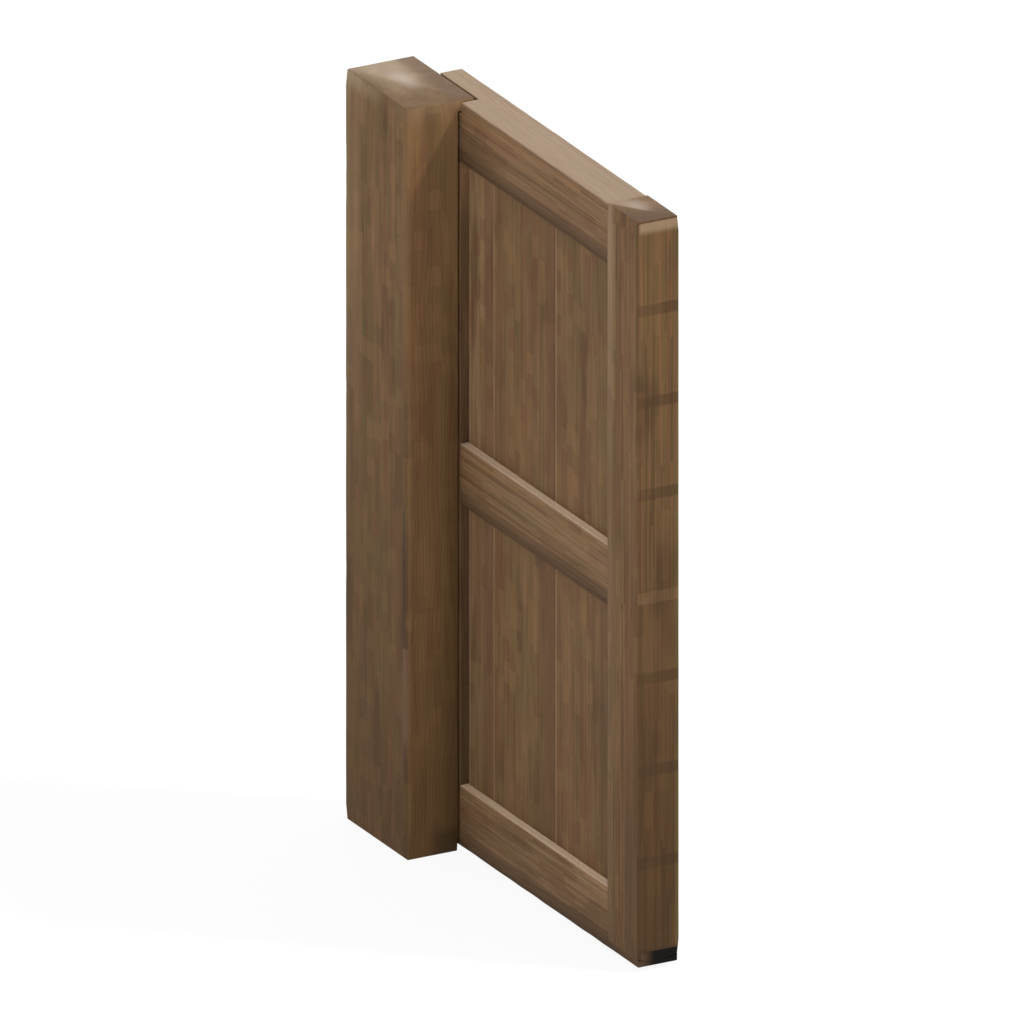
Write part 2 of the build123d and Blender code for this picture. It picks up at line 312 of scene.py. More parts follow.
class Timber(Finish):
    """Weathered softwood: square-ended strips, blocks and flecks in brown, olive, russet and tan,
    growth rings round a pith, and fine fibres, all in the piece's own coordinates."""

    olive = paint(102, 86, 52)
    russet = paint(112, 76, 53)
    tan = paint(136, 103, 69)
    umber = paint(72, 52, 35)

    def __init__(self, name, along, seed, pith, ground, strips, blocks, flecks):
        """Strips, blocks and flecks each give a width, a length along the grain and a strength."""
        super().__init__(name)
        where = self.node("ShaderNodeTexCoord", output="Object")
        self.x, self.y, self.z = [value / MM for value in self.axes(where)]
        facing = self.node("ShaderNodeTexCoord", output="Normal")
        self.face_x, self.face_y, self.face_z = self.axes(facing)
        a, b, run = {
            "z": (self.x, self.y, self.z),
            "x": (self.y, self.z, self.x),
        }[along]
        shift = seed * 17.3
        self.fibre = self.noise(self.point(a / 2.6, b / 2.6 + shift, run / 120), 3.0, 0.6)
        self.streak = self.noise(self.point(a / 11 + shift, b / 11, run / 420), 2.0, 0.55)
        self.cloud = self.noise(self.point(a / 70 - shift, b / 70, run / 330), 2.0)
        sway = self.noise(self.point(a / 95, b / 95, run / 620 + shift), 2.0)
        centred = self.point(a - pith[0], b - pith[1], 0.0)
        radius = self.node("ShaderNodeVectorMath", {"operation": "LENGTH"}, {0: centred}, 1)
        ring = (radius + sway * 60.0) * (2 * math.pi / 6.5)
        self.ring = (ring.sine() * 0.5 + 0.5) ** 3.0
        fray = (self.fibre - 0.5) * 1.5
        a, b = a + fray, b + fray

        tone = self.blend(self.cloud.step(0.45, 0.65) * 0.35, ground, self.tan)
        tone = self.blend(self.cloud.step(0.47, 0.32) * 0.5, tone, self.umber)
        layers = ((strips, self.olive, self.russet), (blocks, self.russet, self.tan),
                  (flecks, self.umber, self.tan))
        for order, ((width, length, strength), seldom, often) in enumerate(layers):
            column_a, column_b = a / width + shift, b / width - order
            start = self.chance(self.point(column_a, column_b, 0.5)) * 7.0
            drawn = self.chance(self.point(column_a, column_b, (run + fray) / length + start))
            tone = self.blend(drawn.step(0.62, 0.95) * strength, tone, often)
            tone = self.blend(drawn.step(0.38, 0.05) * strength, tone, seldom)
        tone = self.blend(self.streak.step(0.5, 0.75) * 0.3, tone, self.umber)
        tone = self.blend(self.ring * 0.12, tone, self.umber)
        tone = self.blend(self.fibre.step(0.52, 0.8) * 0.3, tone, self.umber)
        self.tone = tone
        self.height = self.fibre * 0.5 - self.ring * 0.35 + self.streak * 0.6
        self.roughness = 0.6 + self.fibre * 0.25
        self.upward = self.face_z.step(0.55, 0.95)

    def lay_colour(self, share, colour):
        """Lays a colour over the wood where share is above 0."""
        self.tone = self.blend(share, self.tone, colour)

    def shade(self, share, red, green, blue):
        """Darkens the wood where share is above 0 and keeps its pattern."""
        self.tone = self.blend(share, self.tone, (red, green, blue, 1.0), "MULTIPLY")

    def finish(self, piece):
        self.dress(piece, self.tone, self.roughness, self.height, 1.0, Specular_IOR_Level=0.12)


post_low, post_high = box_mm("post")
rebate_floor_y = 42.5
rebate_cheek_x = -36.0
head_lip_z = 1775.0
end_ease, end_length, end_draw = 1.8, 38.0, 2.3
arris_radii = 3.0, 11.0, 4.0, 4.0, 4.0, 3.2
head_wear, head_wear_length = 16.0, 60.0
foot_loss, foot_loss_length = 7.0, 70.0

rows = stations(post_low[2] + end_ease, post_high[2] - end_ease, 14,
                (end_length, head_lip_z, head_lip_z, post_high[2] - end_length))
under_head = np.arange(len(rows)) <= np.flatnonzero(rows == head_lip_z)[0]
left, front, right, back = post_low[0], post_low[1], post_high[0], post_high[1]
rebated = [(left, front), (right, front), (right, rebate_floor_y),
           (rebate_cheek_x, rebate_floor_y), (rebate_cheek_x, back), (left, back)]
whole = [(left, front), (right, front), (right, rebate_floor_y),
         (right, back), (rebate_cheek_x, back), (left, back)]
corners = np.where(under_head[:, None, None], np.array(rebated), np.array(whole))
radii = np.empty(corners.shape[:2])
for i, radius in enumerate(arris_radii):
    radii[:, i] = radius + waves(rows, 10 + i, 160, radius / 10) + chips(rows, 70 + i, 1.4, 40)
radii[:, 1] += head_wear * np.clip(1 - (post_high[2] - rows) / head_wear_length, 0, 1)
radii[:, 1] -= foot_loss * np.clip(1 - (rows - post_low[2]) / foot_loss_length, 0, 1)
rebate_radius = 2.0
radii[:, 2] = np.where(under_head, rebate_radius, 0.0)
radii[:, 3] = np.where(under_head, 0.0, radii[:, 3])
radii[:, 4] = np.where(under_head, rebate_radius, 0.0)
shake_x, shake_low, shake_high, shake_depth = 130.0, 505.0, 860.0, 5.0
second_x, second_low, second_high, second_depth = -62.0, 1180.0, 1640.0, 2.6
shake_half_width, stirred_reach = 1.5, 30.0
columns = [
    edge_columns(right - left, 22, (shake_x - left, second_x - left)),
    edge_columns(rebate_floor_y - front, 22),
    edge_columns(right - rebate_cheek_x, 26),
    edge_columns(back - rebate_floor_y, 15),
    edge_columns(rebate_cheek_x - left, 22),
    edge_columns(back - front, 22),
]
rings = rounded_rings(corners, radii, columns)
normal = outward(rings)
front_points = rings[..., 1] < front + 1.0
for middle, low, high, deep in ((shake_x, shake_low, shake_high, shake_depth),
                                (second_x, second_low, second_high, second_depth)):
    reach = (high - low) / 2
    open_share = bump_at(rows, low + reach, reach)[:, None] ** 0.6
    groove = np.clip(1 - np.abs(rings[..., 0] - middle) / shake_half_width, 0, 1) * front_points
    rings = rings - normal * (groove * deep * open_share)[..., None]
    stirred = bump_at(rings[..., 0], middle, stirred_reach) * front_points
    rings[..., 0] += stirred * waves(rows, int(low), 130, 2.2)[:, None]
from_end = np.minimum(rows - post_low[2], post_high[2] - rows)
drawn = end_draw * np.clip(1 - from_end / end_length, 0, None)
rings[..., 0] *= 1 - drawn[:, None] / right
rings[..., 1] *= 1 - drawn[:, None] / back
pole = -90.0, -10.0
post_piece = skin("post_log", [with_ends(rings, rows, end_ease, pole)])
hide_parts("post")
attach(post_piece, "post")

post_finish = Timber("post_softwood", "z", 1, (30.0, 60.0), paint(112, 86, 57),
                     (13.0, 760.0, 0.6), (34.0, 46.0, 0.36), (19.0, 130.0, 0.22))
x, y, z = post_finish.x, post_finish.y, post_finish.z
on_top = post_finish.upward
on_front = post_finish.face_y.step(-0.5, -0.9)
near_face = post_finish.face_x.step(0.4, 0.9)
from_left, from_front = x - left, y - front
# The wood darkens towards the foot, painted shade darkens the near face towards the leaf, and painted
# light lifts the near face's front under the head.
post_finish.lay_colour(z.step(1500.0, 700.0) * 0.34 + z.step(500.0, 60.0) * 0.08, paint(75, 53, 30))
post_finish.shade(near_face * z.step(1740.0, 1620.0) * y.step(-50.0, 44.0), 0.79, 0.79, 0.74)
post_finish.lay_colour(near_face * z.step(1640.0, 1760.0) * y.step(-30.0, -60.0) * 0.3, paint(150, 116, 82))
# The sawn top has painted light towards its left and behind the line between its corners, and painted
# shade before that line.
post_finish.lay_colour(on_top * 0.45, paint(126, 102, 74))
# Painted light on the sides just under the head, blurring their edge with the top.
post_finish.lay_colour(z.step(1752.0, 1796.0) * (1.0 - on_top) * 0.3, paint(134, 110, 84))
painted_light_part = from_left.step(250, 40) * from_front.step(0, 50) * from_front.step(172, 100)
post_finish.lay_colour(on_top * painted_light_part * 0.78, paint(173, 152, 129))
post_finish.lay_colour(on_top * from_left.step(110.0, 10.0) * 0.4, paint(176, 156, 133))
across = from_front / (back - front) - from_left / (right - left)
post_finish.shade(on_top * across.step(0.03, -0.09), 0.88, 0.85, 0.79)
# The front is lighter in upright strips beside its outer arris, and under the head painted light blurs
# its edge with the top.
outer_strip = on_front * from_left.step(100.0, 50.0)
post_finish.lay_colour(outer_strip * z.step(500.0, 1700.0) * 0.3, paint(142, 116, 86))
edge_strip = on_front * from_left.step(30.0, 8.0)
post_finish.lay_colour(edge_strip * z.step(500.0, 1300.0) * 0.3, paint(142, 122, 92))
painted_light_head = on_front * from_left.step(200.0, 10.0) * z.step(1748.0, 1792.0)
post_finish.lay_colour(painted_light_head * (post_finish.streak.step(0.35, 0.6) * 0.4 + 0.4), paint(158, 140, 114))
# Towards its back the top is painted brown as shade, a painted highlight lies in its middle, and a
# painted dark line of shade runs along its back arris.
post_finish.lay_colour(on_top * from_front.step(112, 140) * 0.55, paint(108, 84, 68))
post_finish.lay_colour(on_top * post_finish.cloud.step(0.4, 0.6) * 0.25, Timber.umber)
wear_and_sheen = (y + 2.0).size().step(34.0, 0.0) * (x + 30.0).size().step(88.0, 0.0)
post_finish.lay_colour(on_top * wear_and_sheen * 0.6, paint(178, 165, 153))
post_finish.lay_colour(on_top * from_front.step(165.0, 171.0) * 0.6, paint(78, 58, 42))
# Painted light warms the near face below the head and its arris higher up; painted shade darkens the
# near face low down towards the leaf, and the front beside the arris low down. The near face is dark
# at the foot.
arris = on_front * from_left.step(256.0, 280.0)
warm = near_face + arris * z.step(1000.0, 1600.0)
post_finish.lay_colour(warm * z.step(1790.0, 1760.0) * 0.25, paint(126, 96, 61))
post_finish.shade(near_face * z.step(1450.0, 1000.0) * y.step(-5.0, 40.0), 0.68, 0.66, 0.62)
post_finish.lay_colour(near_face * z.step(75.0, 40.0) * y.step(-50.0, 10.0) * 0.5, paint(40, 29, 18))
painted_arris_strip = on_front * from_left.step(225.0, 270.0)
post_finish.lay_colour(painted_arris_strip * z.step(1250.0, 950.0) * 0.25, paint(64, 47, 32))
# The deep shake is dark, with a dark strip beside it and a redder one from its foot down.
at_shake = (x - shake_x).size().step(5.0, 1.0) * post_finish.face_y.step(-0.2, -0.6)
along_shake = z.step(shake_low, shake_low + 60) * z.step(shake_high, shake_high - 60)
post_finish.lay_colour(at_shake * along_shake * 0.7, paint(52, 38, 28))
beside_shake = on_front * (x - shake_x - 3.0).size().step(11.0, 8.0)
above_foot = z.step(shake_low, shake_low + 6.0) * z.step(760.0, 700.0)
post_finish.lay_colour(beside_shake * above_foot * 0.3, paint(72, 52, 40))
below_foot = z.step(shake_low + 2.0, shake_low - 4.0) * z.step(250.0, 310.0)
post_finish.lay_colour(beside_shake * below_foot * 0.35, paint(128, 96, 80))
post_finish.finish(post_piece)


# Leaf frame
# Sawn softwood rails and stiles, 100 mm thick and 145 mm deep, tenoned, pegged and left rough.
# Each is squared, its long arrises eased by hand and worn since.

def side_columns(outline, pitch):
    """For every side of an outline, the fractions that divide it."""
    lengths = np.linalg.norm(np.roll(outline, -1, axis=0) - outline, axis=1)
    return [edge_columns(length, pitch) for length in lengths]


def squared(outline, rows, ease, seed):
    """A timber of one outline all along: four corners, rounded by a radius that wanders."""
    corners = np.broadcast_to(np.array(outline), (len(rows), 4, 2))
    radii = np.stack([2.2 + waves(rows, seed + i, 150, 0.6) for i in range(4)], axis=1)
    rings = rounded_rings(corners, radii, side_columns(corners[0], 24))
    rings = rings + outward(rings) * waves(rows, seed + 9, 420, 0.25)[:, None, None]
    pole = corners[0].mean(axis=0)
    return with_ends(rings, rows, ease, pole)


def rectangle(low, high):
    """The four corners of a rectangle, in the order that keeps turning left."""
    return [(low[0], low[1]), (high[0], low[1]), (high[0], high[1]), (low[0], high[1])]


rail_front_y, rail_back_y = 47.5, 147.5
hanging_low_x, hanging_high_x = -31.0, 146.0
closing_low_x = 846.0
stile_foot_z, frame_top_z = 29.0, 1797.0
bottom_low_z, bottom_high_z = 12.0, 157.0
middle_low_z, middle_high_z = 832.0, 977.0
top_low_z = 1652.0

rows = stations(stile_foot_z + 1, top_low_z - 1, 20)
outline = rectangle((hanging_low_x, rail_front_y), (hanging_high_x, rail_back_y))
hanging_piece = skin("hanging_stile_timber", [squared(outline, rows, 1.0, 200)])
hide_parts("hanging_stile")
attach(hanging_piece, "leaf")
hanging_finish = Timber("hanging_stile_softwood", "z", 2, (60.0, 240.0), paint(112, 87, 62),
                        (13.0, 760.0, 0.5), (28.0, 110.0, 0.3), (14.0, 74.0, 0.16))
# Its inner edge, seen past the post, is painted dark as shade, and the painted shade is lighter high
# up.
lit_share = hanging_finish.z.step(1480.0, 1620.0) * 0.5 - hanging_finish.z.step(900.0, 500.0) * 0.12
hanging_finish.lay_colour(hanging_finish.face_x.step(0.4, 0.9) * (0.54 - lit_share), paint(46, 34, 23))
hanging_finish.finish(hanging_piece)

# The middle rail stands between the stiles, a hair short of both.
rows = stations(hanging_high_x + 1, closing_low_x - 1, 16)
outline = rectangle((rail_front_y, middle_low_z), (rail_back_y, middle_high_z))
middle_piece = skin("middle_rail_timber", [squared(outline, rows, 0.6, 220)], 0)
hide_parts("middle_rail")
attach(middle_piece, "leaf")


def rail_finish(name, seed, pith, foot_z, high_z, ground, top):
    """A rail's wood: streaked and finely checked along its length. Painted light makes its top light
    and catches its front top arris; painted shade darkens it towards its underside, and its lowest
    quarter is darker still."""
    finish = Timber(name, "x", seed, pith, ground,
                    (9.0, 420.0, 0.42), (28.0, 60.0, 0.4), (5.0, 240.0, 0.4))
    check = finish.noise(finish.point(finish.y / 8.0, finish.z / 3.6 + seed, finish.x / 900.0), 1.0)
    thin = check.step(0.57, 0.67)
    finish.lay_colour(thin * 0.36, paint(72, 54, 38))
    finish.height = finish.height - thin * 0.4
    depth = (finish.z - foot_z) / (high_z - foot_z)
    # Painted shade darkens the face downwards and most of all at its underside edge; the lowest
    # quarter is darker.
    finish.lay_colour(depth.step(0.95, 0.1) * 0.4, paint(98, 76, 54))
    finish.lay_colour(depth.step(0.27, 0.24) * 0.4, paint(70, 52, 36))
    finish.lay_colour(depth.step(0.2, 0.02) * 0.5, paint(56, 41, 28))
    # A painted highlight along the front top arris, and painted light on the top.
    finish.lay_colour(finish.face_y.step(-0.5, -0.9) * depth.step(0.96, 0.985) * 0.15, paint(196, 164, 142))
    finish.lay_colour(finish.upward * (0.7 + finish.streak * 0.3), top)
    finish.lay_colour(finish.upward * finish.fibre.step(0.45, 0.7) * 0.25, paint(138, 114, 96))
    sawn_end = finish.face_x.size().step(0.6, 0.9)
    finish.lay_colour(sawn_end * (finish.ring * 0.55 + 0.15), paint(78, 56, 38))
    return finish


def lighten_ledge(finish):
    """The strip of a rail's top before the boards, painted light where the boards shade it."""
    ledge = finish.upward * finish.y.step(100.0, 70.0)
    finish.lay_colour(ledge * 0.6, paint(238, 212, 182))


middle_finish = rail_finish("middle_rail_softwood", 3, (150.0, 700.0), middle_low_z, middle_high_z,
                            paint(142, 112, 83), paint(208, 182, 154))
lighten_ledge(middle_finish)
middle_finish.finish(middle_piece)

# The top rail runs on over the hanging stile, notched at its front clear of the post's head.
notch_x, notch_y, notch_z = 151.0, 91.5, 1770.0
rows = stations(hanging_low_x + 1, closing_low_x - 1, 16, (notch_x, notch_x))
notched = np.arange(len(rows)) <= np.flatnonzero(rows == notch_x)[0]
cut_back = [(rail_front_y, top_low_z), (rail_back_y, top_low_z), (rail_back_y, frame_top_z),
            (notch_y, frame_top_z), (notch_y, notch_z), (rail_front_y, notch_z)]
full = [(rail_front_y, top_low_z), (rail_back_y, top_low_z), (rail_back_y, frame_top_z),
        (notch_y, frame_top_z), (rail_front_y, frame_top_z), (rail_front_y, notch_z)]
corners = np.where(notched[:, None, None], np.array(cut_back), np.array(full))
radii = np.stack([3.0 + waves(rows, 240 + i, 150, 0.8) for i in range(6)], axis=1)
notch_radius = 1.5
radii[:, 3] = np.where(notched, notch_radius, 0.0)
radii[:, 4] = np.where(notched, 0.0, radii[:, 4])
radii[:, 5] = np.where(notched, notch_radius, 0.0)
rings = rounded_rings(corners, radii, side_columns(np.array(cut_back), 24))
pole = 120.0, 1700.0
top_piece = skin("top_rail_timber", [with_ends(rings, rows, 0.6, pole)], 0)
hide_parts("top_rail")
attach(top_piece, "leaf")
top_finish = rail_finish("top_rail_softwood", 4, (40.0, 1560.0), top_low_z, frame_top_z,
                         paint(142, 112, 83), paint(152, 131, 109))
top_finish.finish(top_piece)

# The bottom rail carries both stiles on a lip and a thinner tongue that run under their feet.
lip_z, tongue_z, tongue_low_y, tongue_high_y = 29.0, 46.0, 54.5, 140.5
rail_end_x, rail_ease, face_middle_z = 986.5, 1.5, 93.0
rows = stations(hanging_low_x + rail_ease, rail_end_x - rail_ease, 16,
                (hanging_high_x, hanging_high_x, closing_low_x, closing_low_x))
first_step = np.flatnonzero(rows == hanging_high_x)
last_step = np.flatnonzero(rows == closing_low_x)
order = np.arange(len(rows))
in_bay = (order > first_step[0]) & (order < last_step[-1])
slotted = [(rail_front_y, bottom_low_z), (rail_back_y, bottom_low_z), (rail_back_y, lip_z),
           (tongue_high_y, lip_z), (tongue_high_y, tongue_z), (tongue_low_y, tongue_z),
           (tongue_low_y, lip_z), (rail_front_y, lip_z)]
full = [(rail_front_y, bottom_low_z), (rail_back_y, bottom_low_z), (rail_back_y, lip_z),
        (rail_back_y, face_middle_z), (rail_back_y, bottom_high_z), (rail_front_y, bottom_high_z),
        (rail_front_y, face_middle_z), (rail_front_y, lip_z)]
corners = np.where(in_bay[:, None, None], np.array(full), np.array(slotted))
radii = np.zeros(corners.shape[:2])
for i in (0, 1):
    radii[:, i] = 3.0 + waves(rows, 260 + i, 150, 0.8)
for i in (4, 5):
    radii[:, i] = np.where(in_bay, 2.2 + waves(rows, 260 + i, 150, 0.6), 1.0)
columns = [edge_columns(100, 24), edge_columns(17, 9), edge_columns(20, 8), edge_columns(40, 14),
           edge_columns(100, 24), edge_columns(40, 14), edge_columns(20, 8), edge_columns(17, 9)]
rings = rounded_rings(corners, radii, columns)
pole = (rail_front_y + rail_back_y) / 2, 20.0
bottom_piece = skin("bottom_rail_timber", [with_ends(rings, rows, rail_ease, pole)], 0)
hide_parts("bottom_rail")
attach(bottom_piece, "leaf")
bottom_finish = rail_finish("bottom_rail_softwood", 5, (150.0, -60.0), bottom_low_z, bottom_high_z,
                            paint(150, 118, 88), paint(208, 182, 154))
lighten_ledge(bottom_finish)
# The end and the lip under the closing stile are painted dark as shade, near black.
at_end = bottom_finish.face_x.step(0.4, 0.9)
lip = bottom_finish.z.step(60.0, 56.0) * bottom_finish.upward
bottom_finish.lay_colour(at_end * 0.75 + lip * 0.9, paint(66, 49, 35))
bottom_finish.lay_colour(lip * bottom_finish.x.step(975.0, 983.0), paint(12, 9, 6))
bottom_finish.lay_colour(at_end * bottom_finish.y.step(58.0, 92.0), paint(9, 6, 4))
bottom_finish.finish(bottom_piece)


# Closing stile
# The leaf's free upright, three millimetres proud of the rails on both faces. Its outer edge is
# marked across the grain at even heights, a light band lies under its head, and painted shade darkens
# its foot.
closing_low, closing_high = box_mm("closing_stile")
stile_ease, draw_length, draw_depth = 1.6, 36.0, 2.5
stile_radii = 3.4, 3.4, 1.9, 3.0
rows = stations(closing_low[2] + stile_ease, closing_high[2] - stile_ease, 14,
                (closing_low[2] + draw_length, closing_high[2] - draw_length))
outline = rectangle((closing_low[0], closing_low[1]), (closing_high[0], closing_high[1]))
corners = np.broadcast_to(np.array(outline), (len(rows), 4, 2))
radii = np.stack([radius + waves(rows, 300 + i, 140, radius / 9)
                  for i, radius in enumerate(stile_radii)], axis=1)
for i in (0, 1, 3):
    radii[:, i] += chips(rows, 90 + i, 0.9, 36)
rings = rounded_rings(corners, radii, side_columns(corners[0], 20))
from_end = np.minimum(rows - closing_low[2], closing_high[2] - rows)
drawn = draw_depth * np.clip(1 - from_end / draw_length, 0, None)
outer_share = (rings[..., 0] - closing_low[0]) / (closing_high[0] - closing_low[0])
rings[..., 0] -= drawn[:, None] * outer_share
middle_y = (closing_low[1] + closing_high[1]) / 2
rings[..., 1] -= drawn[:, None] * (rings[..., 1] - middle_y) / (closing_high[1] - middle_y)
pole = (closing_low[0] + closing_high[0]) / 2, middle_y
closing_piece = skin("closing_stile_timber", [with_ends(rings, rows, stile_ease, pole)])
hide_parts("closing_stile")
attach(closing_piece, "leaf")

closing_finish = Timber("closing_stile_softwood", "z", 6, (930.0, 220.0), paint(112, 86, 59),
                        (10.0, 520.0, 0.5), (21.0, 84.0, 0.44), (5.0, 300.0, 0.4))
x, y, z = closing_finish.x, closing_finish.y, closing_finish.z
outer = closing_finish.face_x.step(0.5, 0.9)
facing_front = closing_finish.face_y.step(-0.5, -0.9)
# The outer face is painted darker as shade, and the wood darkens towards the foot.
closing_finish.lay_colour(outer * 0.15, paint(84, 61, 38))
closing_finish.shade(outer, 0.8, 0.77, 0.72)
closing_finish.lay_colour(z.step(1500.0, 40.0) * 0.38, paint(76, 55, 36))
closing_finish.shade(outer * z.step(1500.0, 100.0), 0.63, 0.61, 0.56)
closing_finish.lay_colour(outer * y.step(138.0, 143.0) * 0.4, Timber.olive)
# Dark marks lie across the outer edge at an even pitch, and a light one in place of the fourth.
mark_pitch, mark_top_z, mark_height = 221.0, 1586.0, 27.0
waver = (closing_finish.fibre - 0.5) * 7.0
beat = ((z - mark_top_z + waver) / mark_pitch * math.pi).sine().size()
mark_edge = math.sin(math.pi * mark_height / mark_pitch / 2)
bare_z, bare_height = 896.0, 28.0
clear = (z - bare_z - 20.0).size().step(38.0, 42.0)
mark = beat.step(mark_edge * 1.15, mark_edge * 0.85) * outer * clear
closing_finish.lay_colour(mark * (y.step(44.0, 140.0) * 0.2 + 0.3), paint(56, 40, 25))
bare = (z - bare_z).size().step(bare_height / 2 + 1.0, bare_height / 2 - 1.0) * outer
closing_finish.lay_colour(bare * 0.17, paint(146, 114, 80))
closing_finish.lay_colour(closing_finish.cloud.step(0.5, 0.35) * outer * 0.35, paint(70, 50, 32))
# A light band under the head, a painted highlight in a strip beside the front's inner arris, and a
# redder strip along the front.
below_head = z.step(1764.0, 1782.0) * z.step(1796.5, 1794.5)
closing_finish.lay_colour(below_head * outer * y.step(49.0, 55.0) * 0.6, paint(150, 128, 102))
painted_arris_strip = facing_front * x.step(892.0, 852.0)
closing_finish.lay_colour(painted_arris_strip * (z.step(1000.0, 1800.0) * 0.42 + 0.14), paint(154, 132, 106))
russet_strip = facing_front * x.step(922.0, 930.0) * x.step(968.0, 960.0)
closing_finish.lay_colour(russet_strip * 0.22, Timber.russet)
damp_strip = facing_front * x.step(922.0, 934.0) * z.step(700.0, 250.0)
closing_finish.lay_colour(damp_strip * 0.35, paint(70, 52, 38))
# The top has painted light behind the line between its corners and a painted highlight in its middle,
# and painted shade, brown, before that line and at its outer edge.
on_top = closing_finish.upward
closing_finish.lay_colour(on_top * (0.2 + 0.3 * closing_finish.cloud), paint(126, 102, 80))
from_inside, from_front = x - closing_low[0], y - closing_low[1]
wide, deep = closing_high[0] - closing_low[0], closing_high[1] - closing_low[1]
across = from_front / deep - from_inside / wide
painted_light_part = across.step(-0.06, 0.04) * across.step(0.8, 0.2) * from_inside.step(96.0, 20.0)
closing_finish.lay_colour(on_top * painted_light_part * 0.5, paint(158, 140, 122))
wear_and_sheen = (y - 92.0).size().step(36.0, 0.0) * (x - 908.0).size().step(70.0, 0.0)
closing_finish.lay_colour(on_top * (wear_and_sheen * across.step(-0.1, 0.0)) * 0.6, paint(170, 154, 138))
closing_finish.shade(on_top * across.step(0.03, -0.1), 0.78, 0.73, 0.66)
closing_finish.lay_colour(on_top * x.step(890.0, 975.0) * 0.7, paint(86, 67, 50))
# Its foot, where it stands on the tongue, is painted dark as shade.
at_tongue = outer * z.step(47.0, 45.4)
closing_finish.lay_colour(at_tongue * 0.6, paint(66, 49, 35))
closing_finish.lay_colour(at_tongue * y.step(58.0, 92.0), paint(9, 6, 4))
closing_finish.finish(closing_piece)


# Boards
# Three boards fill each bay, 58 mm thick: a narrow one at the post and two wide ones. They are
# tongued together, and a V is planed along each joint.
board_front_y, board_back_y = 68.5, 126.5
tongue_low_y, tongue_high_y, tongue_reach = 88.0, 107.0, 13.0
seams_x = hanging_high_x, 260.0, 553.0, closing_low_x
bay_height, end_reach = 675.0, 10.0
board_gap, vee, largest_cup = 0.3, 2.2, 0.8
# The narrow board by the post is painted lighter than the others, painted light against the post's
# shadow.
grounds = paint(148, 119, 88), paint(117, 91, 63), paint(112, 87, 60)
for bay_name, bay_foot in (("lower", bottom_high_z), ("upper", middle_high_z)):
    in_upper = bay_name == "upper"
    for number in (1, 2, 3):
        node = f"{bay_name}_board_{number}"
        board_left = seams_x[number - 1] + board_gap
        board_right = seams_x[number] - board_gap
        rows = stations(bay_foot - end_reach, bay_foot + bay_height + end_reach, 20)
        outline = [(board_left + vee, board_front_y), (board_right - vee, board_front_y),
                   (board_right, board_front_y + vee), (board_right, board_back_y - vee),
                   (board_right - vee, board_back_y), (board_left + vee, board_back_y),
                   (board_left, board_back_y - vee),
                   (board_left, tongue_high_y), (board_left - tongue_reach, tongue_high_y),
                   (board_left - tongue_reach, tongue_low_y), (board_left, tongue_low_y),
                   (board_left, board_front_y + vee)]
        corners = np.broadcast_to(np.array(outline), (len(rows), len(outline), 2))
        sides = np.linalg.norm(np.roll(corners[0], -1, axis=0) - corners[0], axis=1)
        columns = [edge_columns(side, 24) if side > 12 else np.array([0.5]) for side in sides]
        rings = rounded_rings(corners, np.zeros(corners.shape[:2]), columns, 1)
        seed = 400 + number * 10 + in_upper * 50
        on_face = (rings[..., 1] < board_front_y + 0.5) | (rings[..., 1] > board_back_y - 0.5)
        middle_x = (board_left + board_right) / 2
        half = (board_right - board_left) / 2
        cup = 1 - ((rings[..., 0] - middle_x) / half) ** 2
        swing = 0.5 + waves(rows, seed, 500, 0.4)[:, None]
        rings[..., 1] -= np.sign(middle_y - rings[..., 1]) * cup * swing * on_face * largest_cup
        pole = middle_x, (board_front_y + board_back_y) / 2
        board_piece = skin(f"{node}_plank", [with_ends(rings, rows, 0.5, pole, 1)], 2, 25)
        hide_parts(node)
        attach(board_piece, "leaf")
        pith = middle_x + 40 * (number - 2), 200.0 - 60 * number
        board_finish = Timber(f"{node}_softwood", "z", 8 + number + 4 * in_upper, pith,
                              grounds[number - 1], (28.5, 420.0, 0.4), (28.5, 52.0, 0.4),
                              (5.0, 260.0, 0.2))
        from_left, from_right = board_finish.x - board_left, board_right - board_finish.x
        # Painted light on the board's left edge, the lit side of its V joint.
        board_finish.lay_colour(from_left.step(12.0, 8.0) * 0.4, paint(150, 122, 94))
        if not in_upper:
            board_finish.lay_colour(from_right.step(90.0, 70.0) * 0.3, paint(84, 62, 46))
        if number < 3:
            board_finish.lay_colour(from_right.step(42.0, 40.0) * 0.45, paint(104, 74, 56))
            # Painted shade at its right edge, the shaded side of the V joint.
            board_finish.lay_colour(from_right.step(3.5, 1.5) * 0.2, paint(58, 44, 31))
        board_finish.finish(board_piece)


# Pegs
# Riven oak pegs, driven from behind through the tenons. Their ends stand a little proud and
# have been struck round.
peg_radius, rod_sides = 7.9, 8


def peg(x, z, back, seed):
    """One peg: an eight-sided rod whose radius wavers round it, with a domed end."""
    side_turn = 2 * math.pi / rod_sides
    turn = np.linspace(0, 2 * np.pi, 16, endpoint=False)
    flat = math.cos(side_turn / 2) / np.cos(turn % side_turn - side_turn / 2)
    uneven = peg_radius * flat + waves(turn * 40, seed, 90, 0.25)
    lift = np.array([-20.0, -20.0, 0.5, 1.6, 2.3, 2.6])
    share = np.array([0.0, 1.0, 1.0, 0.9, 0.6, 0.0])
    ring = np.stack([np.cos(turn), np.sin(turn)], axis=-1) * uneven[:, None]
    points = np.empty((len(lift), len(turn), 3))
    points[..., 0] = z + ring[None, :, 0] * share[:, None]
    points[..., 1] = x + ring[None, :, 1] * share[:, None]
    points[..., 2] = back + lift[:, None]
    return points


